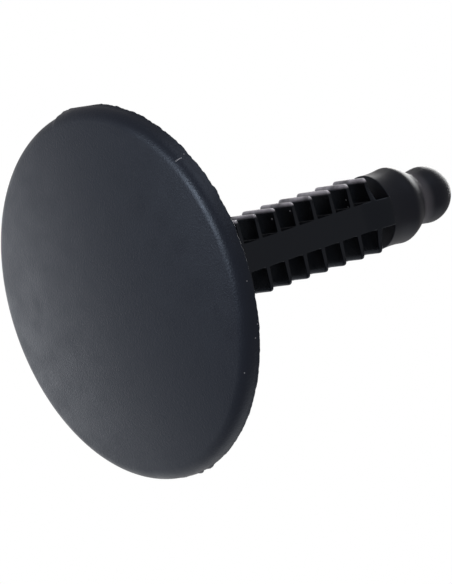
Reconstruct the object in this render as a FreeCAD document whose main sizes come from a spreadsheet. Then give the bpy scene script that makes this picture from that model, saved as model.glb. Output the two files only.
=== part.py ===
import FreeCAD, Part
import math
import os
import Sketcher

# One-piece moulded plastic push-in retainer: a wide domed head, a ladder shank and a round nose.
# It stands on the middle of its dome at the origin, and +Z runs up the shank to the pilot tip.
# The flat front and back faces of the shank look along -Y and +Y, and its fins reach out along X.

NODE = "retainer_clip"

# Lengths in millimetres that differ by less than this are the same
CLOSE = 1e-5

# Driving sizes in millimetres: cell, value, meaning
SIZES = [
    ("head_diameter", 30.0, "outside diameter of the head"),
    ("dome_rise", 1.35, "rise of the shallow dome from its middle to the shoulder"),
    ("dome_flat", 2.5, "radius of the flat in the dome's middle, which the clip stands on"),
    ("shoulder_width", 1.0, "radial width of the round shoulder between dome and rim"),
    ("rim_band", 0.15, "straight band of the rim behind the shoulder"),
    ("rim_bevel", 0.1, "bevel of the rim's outer edge"),
    ("ring_width", 1.5, "width of the flat ring that seats on the panel"),
    ("head_wall", 1.0, "wall of the dome over the hollow behind it, at its middle and its edge"),
    ("hollow_draft", 0.3, "how far the hollow's side leans in towards its floor"),
    ("root_margin", 0.35, "how far the round root stands out past the spine's corners"),
    ("root_flare", 0.5, "how far the root widens down to the hollow's floor"),
    ("root_step", 0.5, "from the root's flat top down to the level of the seating ring"),
    ("spine_width", 2.32, "width of the flat spine between the fins"),
    ("shank_depth", 4.0, "depth of the shank from its front face to its back face"),
    ("ladder_width", 6.4, "width across the fin nearest the head"),
    ("ladder_tip_width", 6.22, "width across the fin nearest the nose"),
    ("fin_corner", 0.35, "rounding of the fins' outer corners"),
    ("first_fin", 2.29, "from the seating ring to the first fin"),
    ("fin_pitch", 1.975, "from one fin to the next"),
    ("fin_edge", 0.34, "thickness of a fin at the front and back faces"),
    ("fin_middle", 0.65, "thickness of a fin at the parting plane halfway through"),
    ("nose_gap", 1.125, "from the last fin to the nose"),
    ("ramp_rise", 0.8, "how far the spine's front and back rise where they run up to the nose"),
    ("nose_radius", 3.14, "radius of the nose at its base and at its crest"),
    ("nose_hollow", 0.08, "depth of the slight waist between base and crest"),
    ("crest_height", 2.25, "from the nose's base up to its crest"),
    ("crest_rounding", 0.4, "rounding of the crest"),
    ("neck_height", 4.15, "from the nose's base up to the neck"),
    ("neck_radius", 2.15, "radius of the neck"),
    ("neck_fillet", 0.45, "rounding in the neck"),
    ("tip_radius", 2.34, "radius of the round pilot tip"),
    ("tip_height", 5.92, "from the nose's base up to the middle of the tip's dome"),
    ("fin_count", 12, "fins along each side of the shank"),
]

# What the sheet works out from them: cell, formula, meaning
WORKED_OUT = [
    ("head_radius", "head_diameter / 2", "outside radius of the head"),
    ("dome_edge", "head_radius - shoulder_width", "radius where the dome ends"),
    ("dome_centre", "(dome_edge ^ 2 + dome_rise ^ 2 - dome_flat ^ 2) / (2 * dome_rise)",
     "height of the middle of the dome's curvature"),
    ("dome_curve", "sqrt(dome_centre ^ 2 + dome_flat ^ 2)", "the dome's radius of curvature"),
    ("shoulder_curve", "shoulder_width / (1 - dome_edge / dome_curve)", "radius of the shoulder's arc"),
    ("shoulder_top", "dome_rise + shoulder_curve * (dome_centre - dome_rise) / dome_curve",
     "height where the shoulder meets the rim's band"),
    ("seat_height", "shoulder_top + rim_band", "height of the seating ring"),
    ("bevel_level", "seat_height - rim_bevel", "height where the rim's bevel begins"),
    ("ring_edge", "head_radius - rim_bevel", "outside radius of the seating ring"),
    ("hollow_edge", "head_radius - ring_width", "inside radius of the seating ring"),
    ("floor_edge", "hollow_edge - hollow_draft", "radius of the hollow's floor"),
    ("floor_rim", "head_wall + dome_centre - sqrt(dome_curve ^ 2 - floor_edge ^ 2)",
     "height of the hollow's floor at its edge"),
    ("spine_half", "spine_width / 2", "half the spine's width"),
    ("depth_half", "shank_depth / 2", "half the shank's depth"),
    ("root_radius", "sqrt(spine_half ^ 2 + depth_half ^ 2) + root_margin", "radius of the root's top"),
    ("root_foot", "root_radius + root_flare", "radius of the root where it meets the floor"),
    ("floor_middle", "head_wall + dome_centre - sqrt(dome_curve ^ 2 - root_foot ^ 2)",
     "height of the hollow's floor beside the root"),
    ("root_top", "seat_height - root_step", "height of the root's flat top"),
    ("spine_foot", "head_wall / 2", "height inside the dome where the spine begins"),
    ("fin_draft", "(fin_middle - fin_edge) / 2", "how far a fin's face leans from edge to parting plane"),
    ("ladder_foot", "seat_height + first_fin - fin_draft", "lowest point of the first fin"),
    ("ladder_top", "ladder_foot + (fin_count - 1) * fin_pitch + fin_middle", "highest point of the last fin"),
    ("ladder_half", "ladder_width / 2", "half the width across the first fin"),
    ("ladder_tip_half", "ladder_tip_width / 2", "half the width across the last fin"),
    ("gap_low", "ladder_foot - (fin_pitch - fin_middle)", "lower face of the gap before the first fin"),
    ("gap_reach", "depth_half + fin_corner", "how far a gap's outline runs out past the middle"),
    ("gap_flare", "fin_draft * gap_reach / depth_half", "how much a gap widens over that reach"),
    ("gap_low_outer", "gap_low - gap_flare", "lower face of that gap at its reach"),
    ("gap_high_outer", "ladder_foot + gap_flare", "upper face of that gap at its reach"),
    ("gap_count", "fin_count + 1", "gaps, with the one before the first fin and the one after the last"),
    ("nose_base", "ladder_top - fin_draft + nose_gap", "height of the nose's flat base"),
    ("ramp_half", "depth_half + ramp_rise", "half the spine's depth where it meets the nose"),
    ("nose_crest", "nose_base + crest_height", "height of the nose's crest"),
    ("waist_curve", "crest_height ^ 2 / (8 * nose_hollow) + nose_hollow / 2", "radius of the waist's arc"),
    ("neck_level", "nose_base + neck_height", "height of the neck"),
    ("neck_step", "nose_radius - neck_radius", "from the crest's radius in to the neck's"),
    ("cone_curve", "(neck_step ^ 2 + (neck_height - crest_height) ^ 2) / (2 * neck_step)",
     "radius of the arc from the crest to the neck"),
    ("tip_level", "nose_base + tip_height", "height of the middle of the tip's dome"),
    ("tip_top", "tip_level + tip_radius", "height of the pilot tip's end"),
]


class Reference:
    """The numbers by which a sketch knows its own axes and origin."""
    LEVEL_AXIS = -1
    UPRIGHT_AXIS = -2
    ORIGIN = (-1, 1)


def make_sheet(doc):
    """The spreadsheet: one row a size, its meaning in column A and its value in column B."""
    sheet = doc.addObject("Spreadsheet::Sheet", "Sizes")
    rows = [(cell, str(value), meaning) for cell, value, meaning in SIZES]
    rows += [(cell, "=" + formula, meaning) for cell, formula, meaning in WORKED_OUT]
    for number, (cell, content, meaning) in enumerate(rows, start=1):
        sheet.set(f"A{number}", meaning)
        sheet.set(f"B{number}", content)
        sheet.setAlias(f"B{number}", cell)
    doc.recompute()
    return sheet


def value_of(sheet, cell):
    """A cell's number, with its sign turned where the name starts with a minus."""
    if cell is None:
        return 0.0
    return -value_of(sheet, cell[1:]) if cell[0] == "-" else float(sheet.get(cell))


def formula_of(cell):
    return "-Sizes." + cell[1:] if cell[0] == "-" else "Sizes." + cell


def new_sketch(body, name, role, lift=None):
    """A sketch on one of the body's origin planes, lifted off it by a cell's value."""
    plane = next(item for item in body.Origin.OriginFeatures if item.Role == role)
    sketch = body.newObject("Sketcher::SketchObject", name)
    sketch.AttachmentSupport = [(plane, "")]
    sketch.MapMode = "FlatFace"
    if lift is not None:
        sketch.setExpression("AttachmentOffset.Base.z", formula_of(lift))
    return sketch


def arc_between(start, end, radius, bulge):
    """The minor arc of a radius from start to end, to the right of the way when bulge is 1."""
    chord = end - start
    middle = (start + end) / 2
    side = FreeCAD.Vector(chord.y, -chord.x, 0).normalize() * bulge
    sagitta = radius - max(radius ** 2 - chord.Length ** 2 / 4, 0) ** 0.5
    return Part.Arc(start, middle + side * sagitta, end)


def pin_point(sketch, curve, end, corner):
    """Binds one end of a curve to its two cells, or to the axis where a cell is None."""
    bindings = (
        ("DistanceX", Reference.UPRIGHT_AXIS, corner[0]),
        ("DistanceY", Reference.LEVEL_AXIS, corner[1]),
    )
    for kind, axis, cell in bindings:
        if cell is None:
            sketch.addConstraint(Sketcher.Constraint("PointOnObject", curve, end, axis))
            continue
        distance = value_of(sketch.Document.Sizes, cell)
        binding = Sketcher.Constraint(kind, *Reference.ORIGIN, curve, end, distance)
        number = sketch.addConstraint(binding)
        sketch.setExpression(f"Constraints[{number}]", formula_of(cell))


def draw_outline(sketch, corners, arcs=None):
    """A closed outline through corners of two cells each.

    arcs gives, for a corner's number, the radius cell and bulge of the arc to the next corner.
    """
    arcs = arcs or {}
    sheet = sketch.Document.Sizes
    points = [FreeCAD.Vector(value_of(sheet, x), value_of(sheet, y), 0) for x, y in corners]
    for number, start in enumerate(points):
        end = points[(number + 1) % len(points)]
        if number in arcs:
            radius, bulge = arcs[number]
            curve = sketch.addGeometry(arc_between(start, end, value_of(sheet, radius), bulge))
        else:
            curve = sketch.addGeometry(Part.LineSegment(start, end))
    ends = [first_and_last(sketch, number, point) for number, point in enumerate(points)]
    for curve, (first, last) in enumerate(ends):
        after = (curve + 1) % len(ends)
        sketch.addConstraint(Sketcher.Constraint("Coincident", curve, last, after, ends[after][0]))
        pin_point(sketch, curve, first, corners[curve])
    for curve, (radius, bulge) in arcs.items():
        size = value_of(sheet, radius)
        number = sketch.addConstraint(Sketcher.Constraint("Radius", curve, size))
        sketch.setExpression(f"Constraints[{number}]", formula_of(radius))


def first_and_last(sketch, curve, start):
    """Which of a curve's two ends, 1 or 2, lies at the start, and which at the finish."""
    return (1, 2) if sketch.getPoint(curve, 1).distanceToPoint(start) < CLOSE else (2, 1)


def add_ladder(body):
    """The blade that the fins are cut from: a slightly tapering slab with rounded long corners."""
    sketch = new_sketch(body, "LadderOutline", "XZ_Plane")
    draw_outline(sketch, [
        ("-ladder_half", "ladder_foot"),
        ("ladder_half", "ladder_foot"),
        ("ladder_tip_half", "ladder_top"),
        ("-ladder_tip_half", "ladder_top"),
    ])
    pad = body.newObject("PartDesign::Pad", "Ladder")
    pad.Profile = sketch
    pad.SideType = "Symmetric"
    pad.setExpression("Length", "Sizes.shank_depth")
    body.Document.recompute()
    long_edges = [
        f"Edge{number}" for number, edge in enumerate(pad.Shape.Edges, start=1)
        if edge.BoundBox.ZLength > pad.Shape.BoundBox.ZLength / 2
    ]
    return add_fillet(body, pad, "FinCorners", long_edges, "fin_corner")


def add_gaps(body):
    """The gaps between the fins, cut in from both sides down to the spine and repeated upwards."""
    cuts = []
    for name, lift, outwards in (("Right", "spine_half", True), ("Left", "-spine_half", False)):
        sketch = new_sketch(body, name + "GapOutline", "YZ_Plane", lift)
        draw_outline(sketch, [
            (None, "gap_low"),
            ("gap_reach", "gap_low_outer"),
            ("gap_reach", "gap_high_outer"),
            (None, "ladder_foot"),
            ("-gap_reach", "gap_high_outer"),
            ("-gap_reach", "gap_low_outer"),
        ])
        pocket = body.newObject("PartDesign::Pocket", name + "Gap")
        pocket.Profile = sketch
        pocket.Type = "ThroughAll"
        pocket.Reversed = outwards
        cuts.append(pocket)
    pattern = body.newObject("PartDesign::LinearPattern", "Gaps")
    pattern.Originals = cuts
    pattern.Direction = (cuts[0].Profile[0], ["V_Axis"])
    pattern.Mode = "Spacing"
    pattern.setExpression("Offset", "Sizes.fin_pitch")
    pattern.setExpression("Occurrences", "Sizes.gap_count")
    body.Tip = pattern


def add_spine(body):
    """The flat spine, from inside the dome's wall up to the nose."""
    sketch = new_sketch(body, "SpineOutline", "XY_Plane", "spine_foot")
    draw_outline(sketch, [
        ("-spine_half", "-depth_half"),
        ("spine_half", "-depth_half"),
        ("spine_half", "depth_half"),
        ("-spine_half", "depth_half"),
    ])
    pad = body.newObject("PartDesign::Pad", "Spine")
    pad.Profile = sketch
    pad.setExpression("Length", "Sizes.nose_base - Sizes.spine_foot")


def add_ramps(body):
    """The wedges on the spine's front and back that run up from the last fin to the nose."""
    sketch = new_sketch(body, "RampOutline", "YZ_Plane")
    draw_outline(sketch, [
        ("-depth_half", "ladder_top"),
        ("depth_half", "ladder_top"),
        ("ramp_half", "nose_base"),
        ("-ramp_half", "nose_base"),
    ])
    pad = body.newObject("PartDesign::Pad", "Ramps")
    pad.Profile = sketch
    pad.SideType = "Symmetric"
    pad.setExpression("Length", "Sizes.spine_width")


def add_turned(body, name, corners, arcs):
    """A full turn of an outline in the plane of X and Z about the shank's axis."""
    sketch = new_sketch(body, name + "Outline", "XZ_Plane")
    draw_outline(sketch, corners, arcs)
    turned = body.newObject("PartDesign::Revolution", name)
    turned.Profile = sketch
    turned.ReferenceAxis = (sketch, ["V_Axis"])
    turned.Angle = 360.0


def add_head(body):
    """The domed head with its round shoulder, seating ring and hollow back."""
    add_turned(body, "Head", [
        (None, None),
        ("dome_flat", None),
        ("dome_edge", "dome_rise"),
        ("head_radius", "shoulder_top"),
        ("head_radius", "bevel_level"),
        ("ring_edge", "seat_height"),
        ("hollow_edge", "seat_height"),
        ("floor_edge", "floor_rim"),
        ("root_foot", "floor_middle"),
        ("root_radius", "root_top"),
        (None, "root_top"),
    ], {1: ("dome_curve", 1), 2: ("shoulder_curve", 1)})


def add_nose(body):
    """The round nose: a drum with a slight waist, a cone that rounds in to the neck, a domed tip."""
    add_turned(body, "Nose", [
        (None, "nose_base"),
        ("nose_radius", "nose_base"),
        ("nose_radius", "nose_crest"),
        ("neck_radius", "neck_level"),
        ("tip_radius", "tip_level"),
        (None, "tip_top"),
    ], {1: ("waist_curve", -1), 2: ("cone_curve", 1), 4: ("tip_radius", 1)})


def add_fillet(body, base, name, edges, radius):
    fillet = body.newObject("PartDesign::Fillet", name)
    fillet.Base = (base, edges)
    fillet.setExpression("Radius", formula_of(radius))
    body.Tip = fillet
    return fillet


def round_ring(body, name, ring_radius, height, radius):
    """Rounds the turned edge that has a ring's radius and lies at a height."""
    body.Document.recompute()
    sheet = body.Document.Sizes
    base = body.Tip
    length = 2 * math.pi * value_of(sheet, ring_radius)
    level = value_of(sheet, height)
    rings = [
        f"Edge{number}" for number, edge in enumerate(base.Shape.Edges, start=1)
        if edge.isClosed() and abs(edge.Length - length) < CLOSE
        and abs(edge.CenterOfMass.z - level) < CLOSE
    ]
    if not rings:
        raise RuntimeError(f"{name}: no edge found")
    add_fillet(body, base, name, rings, radius)


def build_clip(doc):
    body = doc.addObject("PartDesign::Body", "RetainerClip")
    body.Label = NODE
    add_ladder(body)
    add_gaps(body)
    add_spine(body)
    add_ramps(body)
    add_head(body)
    add_nose(body)
    round_ring(body, "CrestRounding", "nose_radius", "nose_crest", "crest_rounding")
    round_ring(body, "NeckFillet", "neck_radius", "neck_level", "neck_fillet")
    body.Placement = FreeCAD.Placement()
    doc.recompute()
    return body


def check_objects(doc, body):
    """Stops the script where an object failed, or where the clip isn't one valid solid."""
    for item in doc.Objects:
        if "Invalid" in item.State or "Error" in item.State:
            raise RuntimeError(f"{item.Name} failed: {item.State}")
    shape = body.Shape
    if shape.isNull() or not shape.isValid() or len(shape.Solids) != 1:
        raise RuntimeError(f"{body.Label} isn't one valid solid")


def main():
    doc = FreeCAD.newDocument("RetainerClip")
    make_sheet(doc)
    body = build_clip(doc)
    check_objects(doc, body)
    os.makedirs("parts", exist_ok=True)
    body.Shape.exportStep(f"parts/{body.Label}.step")
    box = body.Shape.BoundBox
    print(f"{body.Label}: {box.XLength:.2f} x {box.YLength:.2f} x {box.ZLength:.2f} mm,"
          f" {body.Shape.Volume:.1f} cubic mm")


main()
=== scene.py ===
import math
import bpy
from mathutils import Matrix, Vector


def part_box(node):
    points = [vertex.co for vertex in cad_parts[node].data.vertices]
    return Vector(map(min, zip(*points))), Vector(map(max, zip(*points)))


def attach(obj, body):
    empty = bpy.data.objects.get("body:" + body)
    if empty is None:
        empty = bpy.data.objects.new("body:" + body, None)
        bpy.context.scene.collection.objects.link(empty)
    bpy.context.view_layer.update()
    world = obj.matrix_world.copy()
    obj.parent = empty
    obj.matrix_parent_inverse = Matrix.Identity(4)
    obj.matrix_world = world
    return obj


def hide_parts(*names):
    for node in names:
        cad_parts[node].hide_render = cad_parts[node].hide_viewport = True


bl_info = {
    "name": "Push-in retainer clip",
    "version": (1, 0, 0),
    "blender": (4, 5, 0),
    "location": "View3D > Sidebar > Retainer Clip",
    "description": "Builds the moulded head, finned shank and nose of a push-in retainer clip",
    "category": "Add Mesh",
}

import bpy
import numpy as np
from mathutils import Matrix, Vector

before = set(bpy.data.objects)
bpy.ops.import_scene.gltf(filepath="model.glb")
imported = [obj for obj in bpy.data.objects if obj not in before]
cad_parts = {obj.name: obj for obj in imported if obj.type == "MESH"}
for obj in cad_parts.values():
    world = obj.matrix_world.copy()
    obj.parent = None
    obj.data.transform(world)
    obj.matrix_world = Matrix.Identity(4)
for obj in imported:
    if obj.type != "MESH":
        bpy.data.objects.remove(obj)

MM = 0.001
NODE = "retainer_clip"
CAD_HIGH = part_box(NODE)[1]
WELD_DIGITS = 9


def height(name, description, millimetres, **limits):
    """A height that may be above or below the floor, given in millimetres and held in metres."""
    return bpy.props.FloatProperty(
        name=name, description=description, default=millimetres * MM,
        precision=5, subtype="DISTANCE", unit="LENGTH", **limits,
    )


def length(name, description, millimetres):
    """A length that a user may change, given in millimetres and held in metres."""
    return height(name, description, millimetres, min=0.0)


def angle(name, description, degrees):
    """An angle that a user may change, given in degrees and held in radians."""
    return bpy.props.FloatProperty(
        name=name, description=description, default=math.radians(degrees), subtype="ANGLE", unit="ROTATION",
    )


def colour(name, description, red, green, blue):
    """A colour that a user may change."""
    return bpy.props.FloatVectorProperty(
        name=name, description=description, default=(red, green, blue),
        size=3, min=0.0, max=1.0, subtype="COLOR",
    )


def number(name, description, default, **limits):
    """A plain number that a user may change."""
    return bpy.props.FloatProperty(name=name, description=description, default=default, **limits)


class HeadSettings(bpy.types.PropertyGroup):
    """Sizes of the domed head."""

    radius: length("Radius", "Outside radius of the head", CAD_HIGH.x / MM)
    dome_edge: length("Dome edge", "Radius at which the dome turns into the shoulder", 14.0)
    dome_rise: length("Dome rise", "Height of the dome's edge over its middle", 1.35)
    dome_flat: length("Dome flat", "Radius of the flat in the dome's middle", 0.4)
    rim_band: length("Rim band", "Upright band of the rim behind the shoulder", 0.1575)
    edge_round: length("Edge rounding", "Rounding of the rim's back edge", 0.10)
    ring_width: length("Ring width", "Width of the seating ring", 1.5)
    wall: length("Wall", "Thickness of the dome's wall", 1.0)
    hollow_draft: length("Hollow draft", "How far the hollow's side leans in", 0.3)
    root_radius: length("Root radius", "Radius of the round root at its top", 2.662)
    root_flare: length("Root flare", "How much wider the root is at its foot", 0.5)
    root_step: length("Root step", "From the root's top up to the seating ring's level", 0.5)
    flash: length("Flash", "How far the moulding flash stands off the rim", 0.085)
    drawn_in: length("Drawn in", "How far the rim is drawn in where the head came out of round", 0.13)


class ShankSettings(bpy.types.PropertyGroup):
    """Sizes of the spine and its fins."""

    spine_half: length("Spine half width", "Half the width of the spine", 1.16)
    depth_half: length("Half depth", "Half the depth of spine and fins", 2.0)
    fin_half: length("Fin half width", "Half the width across the lowest fins", 3.2)
    fin_half_tip: length("Upper fin half width", "Half the width across the highest fins", 3.11)
    first_fin: length("First fin", "From the seating ring to the middle of the lowest fin", 2.46)
    fin_count: bpy.props.IntProperty(name="Fins", description="Fins on each side", default=12, min=1)
    fin_pitch: length("Fin pitch", "From one fin to the next", 1.975)
    fin_middle: length("Fin middle", "Thickness of a fin at the parting plane", 0.65)
    fin_edge: length("Fin edge", "Thickness of a fin at the front and back faces", 0.34)
    fin_fall: length("Fin fall", "How far a fin's upper side falls from its root to its tip", 0.12)
    fin_corner: length("Fin corner", "Rounding of a fin's outer corners, seen from its end", 0.35)
    tip_round: length("Fin tip rounding", "Rounding between a fin's sides and its outer end", 0.2)
    root_round: length("Fin root rounding", "Fillet between a fin and the spine", 0.06)
    face_round: length("Face rounding", "Rounding of the front and back faces' edges", 0.04)
    parting: length("Parting line", "How far the parting line stands proud at a fin's end", 0.02)
    foot_depth: length("Foot depth", "How far below the seating ring the spine begins, inside the root", 1.2)
    ramp: length("Ramp", "Length over which the spine's faces rise to the nose", 2.4)
    lean: angle("Lean", "How far the moulded shank leans towards -X", 0.63)
    off_centre: length("Off centre", "How far the shank stands off the head's middle towards +X", 0.15)


class NoseSettings(bpy.types.PropertyGroup):
    """Sizes of the round nose."""

    base: length("Base", "From the seating ring to the nose's flat base", 25.48)
    radius: length("Radius", "Radius of the drum at its base", 3.09)
    base_round: length("Base rounding", "Rounding of the drum's lower edge", 0.08)
    waist: length("Waist", "How far the drum's side is drawn in halfway up", 0.08)
    crest: length("Crest", "From the base up to the widest ring", 2.5)
    crest_radius: length("Crest radius", "Radius of the widest ring", 3.17)
    fall: number("Fall", "Power of the height with which the side falls in to the neck", 1.45, min=1.0)
    neck: length("Neck", "From the base up to the narrow neck", 4.4)
    neck_radius: length("Neck radius", "Radius of the neck", 2.13)
    tip: length("Tip", "From the base up to where the domed tip begins", 5.92)
    tip_radius: length("Tip radius", "Radius of the domed tip", 2.34)
    softness: length("Softness", "How widely the crest and the neck are rounded", 0.35)


class LookSettings(bpy.types.PropertyGroup):
    """Colours and surface of the moulded plastic."""

    # The head's black plastic, with a blue tint that is painted sheen
    plastic: colour("Plastic", "Colour of the grained plastic of the head", 0.0082, 0.0105, 0.0195)
    smooth: colour("Smooth plastic", "Colour of the smooth plastic of the shank", 0.004, 0.0042, 0.0055)
    dull: colour("Dull plastic", "Colour of the dull plastic of the nose", 0.020, 0.021, 0.027)
    # Pale colour of painted highlights: the grazing gloss on the fins' -X ends, and a band of light round
    # the neck
    painted_highlight: colour("Rubbed plastic", "Colour of rubbed fin ends, and a tint at the neck", 0.92, 0.89, 0.97)
    sheen: colour("Sheen", "Tint of the plastic's gloss", 0.72, 0.83, 1.0)
    # Colour of the pale specks: real dust on the head's shoulder, and painted glints on the fins
    dust_and_glints: colour("Dust", "Colour of dust specks", 0.42, 0.42, 0.45)
    roughness: number("Roughness", "Roughness of the head's moulded grain", 0.40, min=0.0, max=1.0)
    smooth_roughness: number("Smooth roughness", "Roughness of the shank", 0.22, min=0.0, max=1.0)
    dull_roughness: number("Dull roughness", "Roughness of the nose", 0.36, min=0.0, max=1.0)
    grain: length("Grain", "Size of the moulded grain", 0.16)


class StageSettings(bpy.types.PropertyGroup):
    """The camera, the surroundings and the floor."""

    azimuth: angle("Azimuth", "The camera's heading, from +Y towards +X", 7.58)
    elevation: angle("Elevation", "How far the camera looks up", 38.193)
    roll: angle("Roll", "Turn of the camera about its line of sight, anticlockwise as it looks", 71.724)
    aim_x: height("Aim X", "Point on the line of sight, from the head's axis", 1.688)
    aim_y: height("Aim Y", "Point on the line of sight, from the head's axis", -4.621)
    aim_z: height("Aim Z", "Point on the line of sight, from the seating ring", 5.553)
    distance: length("Distance", "From the camera to the point that it aims at", 450.0)
    lens: number("Lens", "Focal length for a frame 36 mm high, in millimetres", 355.64)
    room: colour("Room", "The dim surroundings beside the white background", 0.245, 0.235, 0.235)
    floor: colour("Floor", "Colour of the floor", 0.80, 0.80, 0.81)


def turns(columns):
    """Even turns about the upright axis, in radians, from +X towards +Y."""
    return np.linspace(0, 2 * np.pi, columns, endpoint=False)


def arc(centre, radius, start, finish, count):
    """Points on a circle's arc, as (r, z) rows: the centre plus the radius times cosine and sine."""
    turn = np.radians(np.linspace(start, finish, count))
    return np.stack([centre[0] + radius * np.cos(turn), centre[1] + radius * np.sin(turn)], axis=1)


def run(start, finish, count):
    """Evenly spaced points on a straight line, both ends included."""
    return np.linspace(start, finish, count)


def turned(profile, columns):
    """A surface of revolution: each (r, z) of the profile goes round as (r cos a, r sin a, z)."""
    turn = turns(columns)
    r, z = profile[:, 0, None], profile[:, 1, None]
    level = np.broadcast_to(z, (len(profile), columns))
    return np.stack([r * np.cos(turn), r * np.sin(turn), level], axis=-1)


def mesh_from_grid(name, points):
    """A closed mesh of a grid of points, rows by columns, whose last column joins its first.

    Points that coincide, as at a pole or along a seam, become one vertex. A four-sided face
    that loses a corner by this becomes a triangle, and one that loses two goes.
    """
    rows, columns = points.shape[:2]
    flat = points.reshape(-1, 3)
    keys = np.round(flat, WELD_DIGITS) + 0.0
    first, owner = np.unique(keys, axis=0, return_index=True, return_inverse=True)[1:]
    owner = owner.reshape(rows, columns)
    beside = np.roll(owner, -1, axis=1)
    quads = np.stack([owner[:-1], beside[:-1], beside[1:], owner[1:]], axis=-1).reshape(-1, 4)
    halves = np.concatenate([quads[:, (0, 1, 2)], quads[:, (0, 2, 3)]])
    whole = np.array([quads[:, i] != quads[:, j] for i in range(4) for j in range(i)]).all(axis=0)
    torn = np.concatenate([~whole, ~whole])
    apart = np.array([halves[:, i] != halves[:, i - 1] for i in range(3)]).all(axis=0)
    faces = quads[whole].tolist() + halves[torn & apart].tolist()
    mesh = bpy.data.meshes.new(name)
    mesh.from_pydata(flat[first].tolist(), [], faces)
    mesh.validate()
    mesh.polygons.foreach_set("use_smooth", np.ones(len(mesh.polygons), dtype=bool))
    mesh.update()
    return mesh


def volume_of(mesh):
    """The volume inside a closed mesh: a sixth of the sum of its triangles' triple products."""
    mesh.calc_loop_triangles()
    corners = np.empty(len(mesh.loop_triangles) * 3, dtype=np.int32)
    mesh.loop_triangles.foreach_get("vertices", corners)
    places = np.empty(len(mesh.vertices) * 3)
    mesh.vertices.foreach_get("co", places)
    a, b, c = places.reshape(-1, 3)[corners.reshape(-1, 3)].transpose(1, 0, 2)
    return float(np.einsum("ij,ij->i", a, np.cross(b, c)).sum() / 6)


def add_piece(name, points, lift, material):
    """Puts a grid, raised by a lift, into the scene as a piece of the clip, with its faces outwards."""
    mesh = mesh_from_grid(name, points + (0, 0, lift))
    if volume_of(mesh) < 0:
        mesh.flip_normals()
    mesh.materials.append(material)
    piece = bpy.data.objects.new(name, mesh)
    bpy.context.scene.collection.objects.link(piece)
    weighted = piece.modifiers.new("Even shading", "WEIGHTED_NORMAL")
    weighted.keep_sharp = False
    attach(piece, "root")
    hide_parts(NODE)


# The domed head

DOME_ROWS = 22
SHOULDER_ROWS = 18
HOLLOW_ROWS = 10
HEAD_COLUMNS = 900


def dome_curve(head):
    """The dome's radius of curvature and its centre's height: a circle through the flat's and dome's edges.

    With the flat's radius f, the edge's radius d and its rise h, the centre lies at a height
    of (d squared plus h squared less f squared) over 2 h.
    """
    middle = (head.dome_edge ** 2 + head.dome_rise ** 2 - head.dome_flat ** 2) / (2 * head.dome_rise)
    return math.hypot(middle, head.dome_flat), middle


def dome_rows(head, start, finish, count):
    """Points on the dome's circle at even radii, as (r, z) rows: z is the centre's height less a root."""
    curve, middle = dome_curve(head)
    r = np.linspace(start, finish, count)
    return np.stack([r, middle - np.sqrt(curve ** 2 - r ** 2)], axis=1)


def shoulder_arc(head):
    """The shoulder's radius and its centre's height: an arc from the dome's slope to upright."""
    curve, middle = dome_curve(head)
    radius = (head.radius - head.dome_edge) / (1 - head.dome_edge / curve)
    return radius, head.dome_rise + radius * (middle - head.dome_rise) / curve


def seat_height(head):
    """The height of the seating ring: the shoulder's end and the rim's band above it."""
    return shoulder_arc(head)[1] + head.rim_band


def head_profile(head):
    """The head's outline as (r, z), from the middle of the dome round the rim to the middle of the root.

    The dome is a circle's arc from its flat to its edge, the shoulder an arc on from there
    to the upright rim, and the back a ring, a hollow that follows the dome, and a root.
    """
    shoulder_r, shoulder_z = shoulder_arc(head)
    slope = math.degrees(math.asin(head.dome_edge / dome_curve(head)[0]))
    e = head.edge_round
    seat = seat_height(head)
    top = seat - head.root_step
    inner = head.radius - head.ring_width
    foot = head.root_radius + head.root_flare
    hollow = dome_rows(head, inner - head.hollow_draft, foot, HOLLOW_ROWS) + (0, head.wall)
    corner = 0.1 * head.root_flare
    return np.concatenate([
        [(0, 0)],
        run((0.5 * head.dome_flat, 0), (0.97 * head.dome_flat, 0), 2),
        dome_rows(head, head.dome_flat, head.dome_edge, DOME_ROWS),
        arc((head.radius - shoulder_r, shoulder_z), shoulder_r, slope - 90, 0, SHOULDER_ROWS)[1:],
        arc((head.radius - e, seat - e), e, 0, 90, 6),
        run((head.radius - 2 * e, seat), (inner + 2 * e, seat), 4),
        arc((inner + e, seat - e), e, 90, 160, 5),
        hollow,
        run((foot - corner, hollow[-1, 1] + corner), (head.root_radius, top - e), 4),
        arc((head.root_radius - e, top - e), e, 10, 90, 4),
        run((head.root_radius - 3 * e, top), (0.3 * head.root_radius, top), 3),
        [(0, top)],
    ])


# Angles round the rim are in degrees from the front, positive towards -X
FRONT = 270
WAVE_SEED = 11
WAVE_ORDERS = (23, 37, 61, 97, 149, 211)
WAVE_WEIGHTS = (0.12, 0.1, 0.1, 0.1, 0.08, 0.06)

# Each tab's angle, height and spread, and the flash's level and the drawing in at some angles
TABS = ((-103.9, 0.6, 1.0), (-85.8, 0.5, 1.2), (-77.1, 1.1, 1.2), (-71.9, 1.1, 1.6), (28.5, 0.8, 1.0),
        (101.0, 0.5, 1.5))
LEVELS = ((-175, 0.1), (-60, 0.6), (10, 0.8), (20, 1.2), (101.5, 1.3), (102.8, 0.0), (160, 0.0))
DRAWN = ((101.5, 0.0), (102.8, 1.0), (118, 1.0), (135, 0.75), (150, 0.35), (172, 0.0))
TAB_POWER = 4
DRAWN_POWER = 24
FLASH_REACH = 0.13 * MM
FLASH_FOOT = 0.6
FLASH_LIFT = 0.8


def rim_waves(around):
    """A wavy line round the rim: sines of several orders and weights, with seeded phases."""
    turn = np.radians(around)
    phases = np.random.default_rng(WAVE_SEED).uniform(0, 2 * np.pi, len(WAVE_ORDERS))
    return sum(w * np.sin(n * turn + p) for n, w, p in zip(WAVE_ORDERS, WAVE_WEIGHTS, phases))


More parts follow.
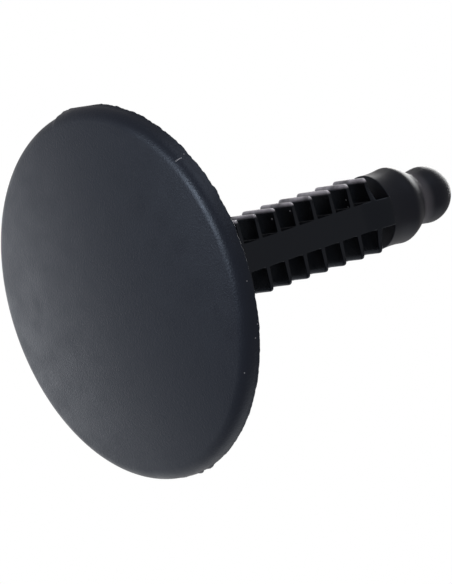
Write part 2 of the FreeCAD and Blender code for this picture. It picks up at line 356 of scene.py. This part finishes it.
def rim_flash(around):
    """How much flash stands on the rim at each angle, as shares of the flash's size.

    A level that runs straight between the listed angles, times a wavy line that stays near
    one, and a bell-shaped tab at each place.
    """
    flash = np.interp(around, *zip(*LEVELS), period=360) * (1 + rim_waves(around))
    for place, size, spread in TABS:
        away = (around - place + 180) % 360 - 180
        flash = flash + size * np.exp(-(away / spread) ** TAB_POWER)
    return flash


def head_points(head):
    """The turned head, drawn in where it came out of round, with flash along the rim's back edge.

    The drawing in scales a row's radius by a share of the whole that grows with a high power
    of the radius. A row near the back edge is pushed out and back by the flash at its turn,
    by a share that is one at the edge and falls off as a bell over a quarter of a millimetre.
    """
    profile = head_profile(head)
    points = turned(profile, HEAD_COLUMNS)
    turn = turns(HEAD_COLUMNS)
    around = FRONT - np.degrees(turn)
    drawn = np.interp(around, *zip(*DRAWN), period=360) * head.drawn_in / head.radius
    points[..., :2] *= (1 - drawn * (profile[:, :1] / head.radius) ** DRAWN_POWER)[..., None]
    edge = np.array([head.radius, seat_height(head) - FLASH_FOOT * head.edge_round])
    share = np.exp(-(np.linalg.norm(profile - edge, axis=1) / FLASH_REACH) ** 2)[:, None]
    push = share * rim_flash(around) * head.flash
    points[..., 0] += push * np.cos(turn)
    points[..., 1] += push * np.sin(turn)
    points[..., 2] += FLASH_LIFT * push
    points[..., :2] = points[..., :2].clip(-head.radius, head.radius)
    return points


# The shank: its spine and fins

SHARES = ("out_fillet", "out_side", "out_tip", "up_half", "up_fillet", "up_gap", "into_x", "into_z",
          "mid_out", "mid_up")
UPWARD = [SHARES.index(name) for name in ("up_half", "up_fillet", "up_gap", "into_z", "mid_up")]
GAP_STATIONS = 7
FILLET_STATIONS = 7
SIDE_STATIONS = 8
ROUND_STATIONS = 5
END_STATIONS = 3
FOOT_STATIONS = 12
TOP_STATIONS = 10
ACROSS_STATIONS = 6
FALL_PIVOT = 0.45


def block(count, **shares):
    """Shares for a number of stations, a row for each name: the values given, and zero for the rest."""
    return np.stack([np.broadcast_to(shares.get(name, 0.0), (count,)) for name in SHARES])


def fin_shares(shank):
    """One fin's half outline in the plane of X and Z, from the middle of the gap below to its tip.

    Each row of the result is a share that shank_points() multiplies by a size: fillet, side
    and tip outwards; half thickness, fillet and gap upwards; then the inward direction and
    the two shares that place the matching point on the middle line.
    """
    gap = -np.linspace(1, 0, GAP_STATIONS)[:-1]
    wall = block(len(gap), up_half=-1, up_fillet=-1, up_gap=gap, into_x=-1, mid_up=-1)
    t = np.linspace(0, np.pi / 2, FILLET_STATIONS)
    done = t / (np.pi / 2)
    fillet = block(len(t), out_fillet=1 - np.cos(t), up_half=-1, up_fillet=np.sin(t) - 1,
                   into_x=-np.cos(t), into_z=np.sin(t), mid_out=np.clip(2 * done - 1, 0, 1),
                   mid_up=-np.clip(1 - 2 * done, 0, 1))
    along = np.linspace(0, 1, SIDE_STATIONS)[1:]
    side = block(len(along), out_fillet=1, out_side=along, up_half=-1, into_z=1, mid_out=1)
    t = np.linspace(0, np.pi / 2, ROUND_STATIONS)[1:]
    squeeze = 2 * shank.tip_round / shank.fin_middle
    rounded = block(len(t), out_fillet=1, out_side=1, out_tip=np.sin(t),
                    up_half=squeeze * (1 - np.cos(t)) - 1, into_x=-np.sin(t), into_z=np.cos(t), mid_out=1)
    up = np.linspace(squeeze - 1, 0, END_STATIONS)[1:]
    end = block(len(up), out_fillet=1, out_side=1, out_tip=1, up_half=up, into_x=-1, mid_out=1)
    return np.concatenate([wall, fillet, side, rounded, end], axis=1)


def stations(shank, nose):
    """Every column of the comb on the +X side, from the foot to inside the nose: shares and heights.

    A fin's lower half is mirrored for its upper half, the pair is repeated at the fins'
    pitch, and plain stretches of spine are added below and above.
    """
    lower = fin_shares(shank)
    upper = lower[:, -2:0:-1].copy()
    upper[UPWARD] *= -1
    period = np.concatenate([lower, upper], axis=1)
    fins = shank.first_fin + shank.fin_pitch * np.arange(shank.fin_count)
    centre = np.repeat(fins, period.shape[1])
    below = np.linspace(-shank.foot_depth, fins[0] - shank.fin_pitch / 2, FOOT_STATIONS, endpoint=False)
    above = np.linspace(fins[-1] + shank.fin_pitch / 2, nose.base + nose.base_round, TOP_STATIONS)
    shares = np.concatenate([
        block(FOOT_STATIONS, into_x=-1),
        np.tile(period, shank.fin_count),
        block(TOP_STATIONS, into_x=-1),
    ], axis=1)
    return shares, np.concatenate([below, centre, above])


# Angles of the rows round a face's edge and round a fin's corner, shares of the depth between
# them, and shares of the way over a face to its middle line
EDGE_ANGLES = (90, 66, 44, 22, 0)
CORNER_ANGLES = (48, 36, 24, 12, 0)
DEPTH_SHARES = (0.75, 0.5, 0.25, 0.06, 0.03)
FACE_SHARES = (1.0, 0.45)


def depth_rows(shank):
    """The comb's rows from the front face's middle line to the back face's: depth, inset and share.

    Depth runs from minus to plus the half depth, closer together near the faces, where the
    corners round. Inset is how far a point stands in from the outline, and share how far it
    has gone from there to the middle line.
    """
    d, e, c = shank.depth_half, shank.face_round, shank.fin_corner
    edge = d - e + e * np.sin(np.radians(EDGE_ANGLES))
    corner = d - c + c * np.sin(np.radians(CORNER_ANGLES))
    depth = np.concatenate([edge, corner, np.array(DEPTH_SHARES) * (d - c)])
    inset = e * (1 - np.sqrt(1 - np.clip((depth - d + e) / e, 0, 1) ** 2))
    rows = np.concatenate([
        [(d, e, share) for share in FACE_SHARES],
        [(d, 2.4 * e, 0.0)],
        np.stack([depth, inset, np.zeros(len(depth))], axis=1),
        [(0.0, -shank.parting, 0.0)],
    ])
    back = rows[-2::-1].copy()
    front = rows.copy()
    front[:, 0] *= -1
    return np.concatenate([front, back])


def fin_reach(shank, centre, depth):
    """How far out a fin ends: less from fin to fin by the taper, and by a circle's arc at its corners."""
    beyond = np.clip((depth - shank.depth_half + shank.fin_corner) / shank.fin_corner, 0, 1)
    corner = shank.fin_corner * (1 - np.sqrt(1 - beyond ** 2))
    rise = shank.fin_pitch * (shank.fin_count - 1)
    taper = (shank.fin_half - shank.fin_half_tip) / rise
    return shank.fin_half - taper * (centre - shank.first_fin) - corner


def ramped(x, y, z, shank, nose):
    """The depths y, stretched where the spine's faces rise to the nose.

    The stretch grows as a smooth step over the ramp's length, up to what brings the face
    flush with the drum, and fades out beyond the spine's edge.
    """
    climb = np.clip((z - nose.base) / shank.ramp + 1, 0, 1)
    climb = climb * climb * (3 - 2 * climb) * np.clip(2 - x / shank.spine_half, 0, 1)
    flush = np.sqrt(nose.radius ** 2 - np.clip(x, 0, shank.spine_half) ** 2)
    return y * (1 + climb * (flush / shank.depth_half - 1))


def run_across(edge):
    """Points between an end of the comb's right side and its mirror image: evenly from +X to -X."""
    shares = np.linspace(1, -1, ACROSS_STATIONS)[1:-1]
    across = np.repeat(edge[:, None, :], len(shares), axis=1)
    across[..., 0] *= shares
    return across


def shank_points(shank, nose):
    """The spine and its fins as one comb-shaped outline carried through the depth with draft.

    In the plane of X and Z the outline runs up one side of the spine, out round each fin and
    back, and down the other side. From the parting plane to either face the fins grow
    thinner in proportion to the depth, their outer corners follow a circle's arc, and the
    faces close on the middle lines of the spine and of each fin.
    """
    shares, centre = stations(shank, nose)
    y, inset, closed = (column[:, None] for column in depth_rows(shank).T)
    out_fillet, out_side, out_tip, up_half, up_fillet, up_gap, into_x, into_z, mid_out, mid_up = shares
    fillet = shank.root_round
    half = shank.fin_edge / 2 + (shank.fin_middle - shank.fin_edge) / 2 * (1 - abs(y) / shank.depth_half)
    side = fin_reach(shank, centre, abs(y)) - shank.spine_half - fillet - shank.tip_round
    gap = shank.fin_pitch / 2 - half - fillet
    x = shank.spine_half + out_fillet * fillet + out_side * side + out_tip * shank.tip_round
    z = centre + up_half * half + up_fillet * fillet + up_gap * gap
    outwards = (x - shank.spine_half) / (shank.fin_half - shank.spine_half)
    upper = np.clip(up_half, 0, 1) * (1 - np.clip(up_gap, 0, 1))
    z = z + upper * shank.fin_fall * (FALL_PIVOT - outwards)
    mid_x = mid_out * (shank.spine_half + fillet) + out_side * side
    mid_z = centre + mid_up * (half + fillet) + up_gap * gap
    inset = np.where(inset < 0, inset * out_side, inset)
    x = (1 - closed) * (x + into_x * inset) + closed * mid_x
    z = (1 - closed) * (z + into_z * inset) + closed * mid_z
    right = np.stack([x, ramped(x, y, z, shank, nose), z], axis=-1)
    left = (right * (-1, 1, 1))[:, ::-1]
    top = run_across(right[:, -1])
    foot = run_across(right[:, 0])[:, ::-1]
    return np.concatenate([right, top, left, foot], axis=1)


def leaned(points, shank):
    """The points moved off centre, and towards -X by their height times the tangent of the lean."""
    return points + (shank.off_centre, 0, 0) - points[..., 2:] * (math.tan(shank.lean), 0, 0)


# The round nose

NOSE_STEPS = 400
NOSE_ROWS = 58
TIP_ROWS = 20
NOSE_COLUMNS = 192


def nose_profile(nose):
    """The nose's outline as (r, z).

    From the base's rounded edge the side bows in by the waist up to the crest, falls in to
    the neck with a power of the height, widens straight to the tip and ends in a quarter
    circle. A sliding mean along the height rounds the crest and the neck.
    """
    z = np.linspace(0, nose.tip, NOSE_STEPS)
    bow = 1 - (2 * z / nose.crest - 1) ** 2
    drum = nose.radius + (nose.crest_radius - nose.radius) * z / nose.crest - nose.waist * bow
    fallen = np.clip((z - nose.crest) / (nose.neck - nose.crest), 0, 1) ** nose.fall
    cone = nose.crest_radius - (nose.crest_radius - nose.neck_radius) * fallen
    widened = (z - nose.neck) / (nose.tip - nose.neck)
    sleeve = nose.neck_radius + (nose.tip_radius - nose.neck_radius) * widened
    r = np.where(z < nose.crest, drum, np.where(z < nose.neck, cone, sleeve))
    reach = int(round(nose.softness / (z[1] - z[0])))
    window = np.hanning(2 * reach + 1)
    soft = np.convolve(np.pad(r, reach, mode="edge"), window / window.sum(), mode="valid")
    pick = np.linspace(nose.base_round, nose.tip, NOSE_ROWS)
    side = np.stack([np.interp(pick, z, soft), nose.base + pick], axis=1)
    e = nose.base_round
    rim = side[0, 0]
    return np.concatenate([
        [(0, nose.base)],
        run((0.4 * rim, nose.base), (rim - 1.8 * e, nose.base), 4),
        arc((rim - e, nose.base + e), e, -90, 0, 6)[:-1],
        side,
        arc((0, nose.base + nose.tip), nose.tip_radius, 0, 90, TIP_ROWS)[1:-1],
        [(0, nose.base + nose.tip + nose.tip_radius)],
    ])


# Materials

MIX_FIRST, MIX_SECOND, MIX_RESULT = 6, 7, 2


def new_material(name):
    """An empty material, ready for nodes."""
    material = bpy.data.materials.new(name)
    material.use_nodes = True
    material.node_tree.nodes.clear()
    return material


def feed(tree, socket, value):
    """Links another node's output to a socket, or sets a plain value on it."""
    if isinstance(value, bpy.types.NodeSocket):
        tree.links.new(value, socket)
    else:
        socket.default_value = value


def add_node(tree, kind, **values):
    """Adds a node, with its properties and sockets by name. A socket's spaces are underscores here."""
    node = tree.nodes.new(kind)
    for key, value in values.items():
        if hasattr(node, key):
            setattr(node, key, value)
        else:
            feed(tree, node.inputs[key.replace("_", " ")], value)
    return node


def worked(tree, operation, *terms, kind="ShaderNodeMath"):
    """The value that a Math or Vector Math node works out from terms, outputs or plain values."""
    node = add_node(tree, kind, operation=operation)
    for socket, term in zip(node.inputs, terms):
        feed(tree, socket, term)
    return node.outputs["Value"]


def ramp(tree, value, start, finish):
    """A share that goes smoothly from 0 to 1 as a value goes from start to finish."""
    share = add_node(tree, "ShaderNodeMapRange", interpolation_type="SMOOTHSTEP",
                     Value=value, From_Min=start, From_Max=finish)
    return share.outputs["Result"]


def band(tree, value, rise, fall):
    """A share that fades in over one range of a value and out over another."""
    return worked(tree, "MULTIPLY", ramp(tree, value, *rise), ramp(tree, value, *fall))


def blend(tree, share, first, second):
    """A colour that goes from the first to the second with a share."""
    mix = add_node(tree, "ShaderNodeMix", data_type="RGBA", Factor=share)
    feed(tree, mix.inputs[MIX_FIRST], first)
    feed(tree, mix.inputs[MIX_SECOND], second)
    return mix.outputs[MIX_RESULT]


def blend_shaders(tree, share, first, second):
    """A shader that goes from the first node's to the second's with a share."""
    mix = add_node(tree, "ShaderNodeMixShader", Fac=share)
    tree.links.new(first.outputs[0], mix.inputs[1])
    tree.links.new(second.outputs[0], mix.inputs[2])
    return mix.outputs["Shader"]


# Specks of dust on the head's shoulder, as turn from the front in degrees, height and radius
# in millimetres: an even row of them from its start to its end, and lone ones
ROW_START = (42.65, 1.67, 0.07)
ROW_END = (42.41, 2.03, 0.07)
ROW_COUNT = 5
LONE_SPECKS = ((43.14, 2.43, 0.06), (-28.47, 1.65, 0.06), (-17.34, 2.33, 0.07), (-13.27, 2.59, 0.085),
               (-0.06, 2.29, 0.06))

# Painted glints on the fins near the front face, as small pale specks: place and radius in millimetres
FIN_GLINTS = ((-2.48, -1.72, 18.81, 0.09), (-2.31, -1.71, 16.84, 0.11), (-1.94, -1.69, 24.74, 0.07),
              (-1.36, -1.74, 24.73, 0.07))
SPECK_CORE = 0.4


def shoulder_specks(head):
    """The specks on the head's shoulder, as rows of x, y, z and radius.

    A speck's distance from the axis is the shoulder's at its height: the head's radius less
    the arc's, plus the root of the arc's radius squared less the gap from the speck up to
    the arc's centre squared. Over that centre the gap counts as zero.
    """
    specks = np.concatenate([run(ROW_START, ROW_END, ROW_COUNT), LONE_SPECKS])
    turn = np.radians(FRONT - specks[:, 0])
    z, size = specks[:, 1:].T * MM
    radius, middle = shoulder_arc(head)
    out = head.radius - radius + np.sqrt(radius ** 2 - np.clip(middle - z, 0, None) ** 2)
    return np.stack([out * np.cos(turn), out * np.sin(turn), z, size], axis=1)


def add_dust_and_glints(tree, place, paint, specks, dust_and_glints):
    """A colour with pale specks on it, dust on the head and painted glints on the fins, each where a small
    ball round its place meets the surface.
    """
    whole = None
    for x, y, z, radius in specks:
        away = worked(tree, "DISTANCE", place, (x, y, z), kind="ShaderNodeVectorMath")
        speck = ramp(tree, away, radius, SPECK_CORE * radius)
        whole = worked(tree, "MAXIMUM", whole, speck) if whole else speck
    return blend(tree, whole, paint, (*dust_and_glints, 1))


# Ranges over which the painted highlights fade in and out, by place or by the cloudy noise: on the fins' -X
# ends and round the neck
HIGHLIGHT_OUT = (-2.80 * MM, -3.12 * MM)
HIGHLIGHT_RISE = (9.0 * MM, 10.5 * MM)
HIGHLIGHT_FALL = (27.9 * MM, 27.0 * MM)
HIGHLIGHT_BLOTCH = (0.2, 0.6)
NECK_HIGHLIGHT_RISE = (31.8 * MM, 32.3 * MM)
NECK_HIGHLIGHT_FALL = (33.6 * MM, 32.7 * MM)
NECK_HIGHLIGHT_SHARE = 0.11


def head_paint(tree, place, cloud, clip):
    """The head's colour, black with a blue tint of painted sheen, and a few specks of dust near the rim."""
    look = clip.look
    return add_dust_and_glints(tree, place, (*look.plastic, 1), shoulder_specks(clip.head), look.dust_and_glints)


def shank_paint(tree, place, cloud, clip):
    """The shank's colour, with a painted highlight in blotches at the fin ends of the -X side for their
    grazing gloss, and painted glints in specks.

    The share of the painted highlight grows towards -X over the last of a fin's length. It fades
    in with the height over the head and out below the nose.
    """
    look = clip.look
    parts = add_node(tree, "ShaderNodeSeparateXYZ", Vector=place)
    # Painted highlight in blotches, standing in for the grazing gloss on the fins' -X ends
    out = ramp(tree, parts.outputs["X"], *HIGHLIGHT_OUT)
    blotched = worked(tree, "MULTIPLY", out, ramp(tree, cloud, *HIGHLIGHT_BLOTCH))
    tip_highlight = worked(tree, "MULTIPLY", blotched, band(tree, parts.outputs["Z"], HIGHLIGHT_RISE, HIGHLIGHT_FALL))
    paint = blend(tree, tip_highlight, (*look.smooth, 1), (*look.painted_highlight, 1))
    # The pale specks on the fins are painted glints
    return add_dust_and_glints(tree, place, paint, np.array(FIN_GLINTS) * MM, look.dust_and_glints)


def nose_paint(tree, place, cloud, clip):
    """The nose's colour, with a painted highlight in a ring round the neck for the band of light that the
    neck reflects.
    """
    look = clip.look
    parts = add_node(tree, "ShaderNodeSeparateXYZ", Vector=place)
    # Painted highlight: a pale band round the neck in place of the light that it reflects
    ring = worked(tree, "MULTIPLY", band(tree, parts.outputs["Z"], NECK_HIGHLIGHT_RISE, NECK_HIGHLIGHT_FALL), NECK_HIGHLIGHT_SHARE)
    return blend(tree, ring, (*look.dull, 1), (*look.painted_highlight, 1))


GRAIN_DEPTH = 0.025 * MM
CLOUD_SIZE = 12
CLOUD_RANGE = (0.3, 0.7)
GLOSS_SPREAD = 0.05
HEAD_RELIEF = 1.0
FINE_RELIEF = 0.15
GLOSSY_IOR = 1.56
DULL_IOR = 1.33


def plastic_material(name, clip, paint, roughness, relief, ior):
    """Moulded black plastic, made once: grain in the bump, mottling in the gloss, and a paint."""
    if name in bpy.data.materials:
        return bpy.data.materials[name]
    look = clip.look
    material = new_material(name)
    tree = material.node_tree
    place = add_node(tree, "ShaderNodeTexCoord").outputs["Object"]
    grain = add_node(tree, "ShaderNodeTexNoise", Vector=place, Scale=1 / look.grain,
                     Detail=3.0, Roughness=0.6).outputs["Fac"]
    cloud = add_node(tree, "ShaderNodeTexNoise", Vector=place, Scale=1 / (CLOUD_SIZE * look.grain),
                     Detail=3.0, Roughness=0.5).outputs["Fac"]
    bump = add_node(tree, "ShaderNodeBump", Strength=relief, Distance=GRAIN_DEPTH, Height=grain)
    gloss = add_node(tree, "ShaderNodeMapRange", Value=cloud,
                     From_Min=CLOUD_RANGE[0], From_Max=CLOUD_RANGE[1],
                     To_Min=roughness - GLOSS_SPREAD, To_Max=roughness + GLOSS_SPREAD)
    shader = add_node(tree, "ShaderNodeBsdfPrincipled", IOR=ior, Specular_Tint=(*look.sheen, 1),
                      Base_Color=paint(tree, place, cloud, clip), Roughness=gloss.outputs["Result"],
                      Normal=bump.outputs["Normal"])
    add_node(tree, "ShaderNodeOutputMaterial", Surface=shader.outputs["BSDF"])
    return material


def grained_plastic(clip):
    """The head's finely grained plastic."""
    return plastic_material(
        "grained_black_plastic", clip, head_paint, clip.look.roughness, HEAD_RELIEF, GLOSSY_IOR)


def smooth_plastic(clip):
    """The smoother plastic of the shank."""
    return plastic_material(
        "smooth_black_plastic", clip, shank_paint, clip.look.smooth_roughness, FINE_RELIEF, GLOSSY_IOR)


def dull_plastic(clip):
    """The duller plastic of the nose."""
    return plastic_material(
        "dull_black_plastic", clip, nose_paint, clip.look.dull_roughness, FINE_RELIEF, DULL_IOR)


class RETAINER_OT_head(bpy.types.Operator):
    """Adds the domed head with its rim, hollow back and root"""

    bl_idname = "retainer.head"
    bl_label = "Add Head"

    def execute(self, context):
        clip = context.scene.retainer
        add_piece("clip_head", head_points(clip.head), 0.0, grained_plastic(clip))
        return {"FINISHED"}


class RETAINER_OT_shank(bpy.types.Operator):
    """Adds the spine with its fins"""

    bl_idname = "retainer.shank"
    bl_label = "Add Shank"

    def execute(self, context):
        clip = context.scene.retainer
        points = leaned(shank_points(clip.shank, clip.nose), clip.shank)
        add_piece("clip_shank", points, seat_height(clip.head), smooth_plastic(clip))
        return {"FINISHED"}


class RETAINER_OT_nose(bpy.types.Operator):
    """Adds the round nose with its domed tip"""

    bl_idname = "retainer.nose"
    bl_label = "Add Nose"

    def execute(self, context):
        clip = context.scene.retainer
        points = leaned(turned(nose_profile(clip.nose), NOSE_COLUMNS), clip.shank)
        add_piece("clip_nose", points, seat_height(clip.head), dull_plastic(clip))
        return {"FINISHED"}


# The stage

FLOOR_HALF = 2.0
WORLD_AXIS = (0.33, 0.944, 0.0)
WORLD_FROM = 0.32
WORLD_TO = 0.95
WORLD_POWER = 3.0

# Name, place, size, power and tint of each lamp
LAMPS = (
    ("lamp_above", (-0.10, 0.20, 0.42), 0.30, 1.2, (1.0, 0.99, 0.97)),
    ("lamp_below", (-0.15, 0.03, -0.475), 0.16, 0.89, (0.93, 0.965, 1.0)),
    ("lamp_beside", (-0.42, -0.28, 0.02), 0.40, 0.42, (0.96, 0.97, 1.0)),
    ("lamp_behind", (0.04, 0.50, -0.07), 0.20, 0.14, (0.97, 0.97, 1.0)),
    ("lamp_right", (0.48, 0.03, 0.18), 0.50, 0.36, (1.0, 1.0, 1.0)),
)
LAMP_AIM = (0.0, 0.0, 0.015)
SENSOR = 36
CLIP_START = 0.01


def floor_material(shade):
    """A pale floor that the camera sees from above only, and that lets every lamp through."""
    material = new_material("pale_floor")
    tree = material.node_tree
    clear = add_node(tree, "ShaderNodeBsdfTransparent")
    pale = add_node(tree, "ShaderNodeBsdfDiffuse", Color=(*shade, 1))
    camera = add_node(tree, "ShaderNodeLightPath").outputs["Is Camera Ray"]
    below = add_node(tree, "ShaderNodeNewGeometry").outputs["Backfacing"]
    seen = worked(tree, "MULTIPLY", camera, worked(tree, "SUBTRACT", 1.0, below))
    add_node(tree, "ShaderNodeOutputMaterial", Surface=blend_shaders(tree, seen, clear, pale))
    return material


def add_floor(shade):
    """A square floor at height zero."""
    mesh = bpy.data.meshes.new("floor")
    r = FLOOR_HALF
    mesh.from_pydata([(-r, -r, 0), (r, -r, 0), (r, r, 0), (-r, r, 0)], [], [(0, 1, 2, 3)])
    mesh.materials.append(floor_material(shade))
    floor = bpy.data.objects.new("floor", mesh)
    bpy.context.scene.collection.objects.link(floor)


def add_surroundings(room):
    """A dim room with a white background, which the camera sees everywhere and gloss only behind the clip.

    The background fades in with the cosine between a ray and the axis that points past the
    clip, so that gloss on the clip runs from the background's white into the room's colour.
    """
    world = bpy.data.worlds.new("surroundings")
    world.use_nodes = True
    tree = world.node_tree
    tree.nodes.clear()
    heading = add_node(tree, "ShaderNodeTexCoord").outputs["Generated"]
    facing = worked(tree, "DOT_PRODUCT", heading, WORLD_AXIS, kind="ShaderNodeVectorMath")
    behind = add_node(tree, "ShaderNodeMapRange", Value=facing, From_Min=WORLD_FROM, From_Max=WORLD_TO)
    fade = worked(tree, "POWER", behind.outputs["Result"], WORLD_POWER)
    path = add_node(tree, "ShaderNodeLightPath").outputs
    gloss = worked(tree, "MULTIPLY", path["Is Glossy Ray"], fade)
    clear = worked(tree, "MAXIMUM", path["Is Transmission Ray"], gloss)
    seen = worked(tree, "MAXIMUM", path["Is Camera Ray"], clear)
    dim = add_node(tree, "ShaderNodeBackground", Color=(*room, 1))
    white = add_node(tree, "ShaderNodeBackground", Color=(1, 1, 1, 1))
    add_node(tree, "ShaderNodeOutputWorld", Surface=blend_shaders(tree, seen, dim, white))
    bpy.context.scene.world = world


def add_lamp(name, place, size, power, tint):
    """A square soft lamp that points at the clip and isn't seen itself."""
    data = bpy.data.lights.new(name, "AREA")
    data.size = size
    data.energy = power
    data.color = tint
    lamp = bpy.data.objects.new(name, data)
    lamp.location = place
    lamp.rotation_euler = (Vector(LAMP_AIM) - Vector(place)).to_track_quat("-Z", "Y").to_euler()
    lamp.visible_camera = False
    bpy.context.scene.collection.objects.link(lamp)


def add_camera(stage, seat):
    """The camera at the photograph's place: a heading and a tilt about the point it aims at, then a roll."""
    data = bpy.data.cameras.new("camera")
    data.sensor_width = SENSOR
    data.lens = stage.lens
    data.clip_start = CLIP_START
    camera = bpy.data.objects.new("camera", data)
    bpy.context.scene.collection.objects.link(camera)
    level = math.cos(stage.elevation)
    east = math.sin(stage.azimuth) * level
    north = math.cos(stage.azimuth) * level
    sight = Vector((east, north, math.sin(stage.elevation)))
    aim = Vector((stage.aim_x, stage.aim_y, seat + stage.aim_z))
    turn = sight.to_track_quat("-Z", "Y").to_matrix() @ Matrix.Rotation(stage.roll, 3, "Z")
    camera.matrix_world = Matrix.Translation(aim - stage.distance * sight) @ turn.to_4x4()
    bpy.context.scene.camera = camera


class RETAINER_OT_stage(bpy.types.Operator):
    """Adds the floor, the surroundings, the lamps and the camera"""

    bl_idname = "retainer.stage"
    bl_label = "Add Stage"

    def execute(self, context):
        clip = context.scene.retainer
        add_floor(clip.stage.floor)
        add_surroundings(clip.stage.room)
        for lamp in LAMPS:
            add_lamp(*lamp)
        add_camera(clip.stage, seat_height(clip.head))
        context.scene.view_settings.view_transform = "Standard"
        return {"FINISHED"}


class ClipSettings(bpy.types.PropertyGroup):
    """Every group of settings of the clip."""

    head: bpy.props.PointerProperty(type=HeadSettings)
    shank: bpy.props.PointerProperty(type=ShankSettings)
    nose: bpy.props.PointerProperty(type=NoseSettings)
    look: bpy.props.PointerProperty(type=LookSettings)
    stage: bpy.props.PointerProperty(type=StageSettings)


STEPS = (RETAINER_OT_head, RETAINER_OT_shank, RETAINER_OT_nose, RETAINER_OT_stage)


class RETAINER_PT_panel(bpy.types.Panel):
    """Lists the steps that build the clip"""

    bl_label = "Retainer Clip"
    bl_idname = "RETAINER_PT_panel"
    bl_space_type = "VIEW_3D"
    bl_region_type = "UI"
    bl_category = "Retainer Clip"

    def draw(self, context):
        for step in STEPS:
            self.layout.operator(step.bl_idname)


CLASSES = (HeadSettings, ShankSettings, NoseSettings, LookSettings, StageSettings, ClipSettings, *STEPS,
           RETAINER_PT_panel)


def register():
    for item in CLASSES:
        bpy.utils.register_class(item)
    bpy.types.Scene.retainer = bpy.props.PointerProperty(type=ClipSettings)


def unregister():
    del bpy.types.Scene.retainer
    for item in reversed(CLASSES):
        bpy.utils.unregister_class(item)


def main():
    """Builds the clip and its stage."""
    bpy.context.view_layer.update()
    register()
    bpy.ops.retainer.head()
    bpy.ops.retainer.shank()
    bpy.ops.retainer.nose()
    bpy.ops.retainer.stage()


if __name__ == "__main__":
    main()
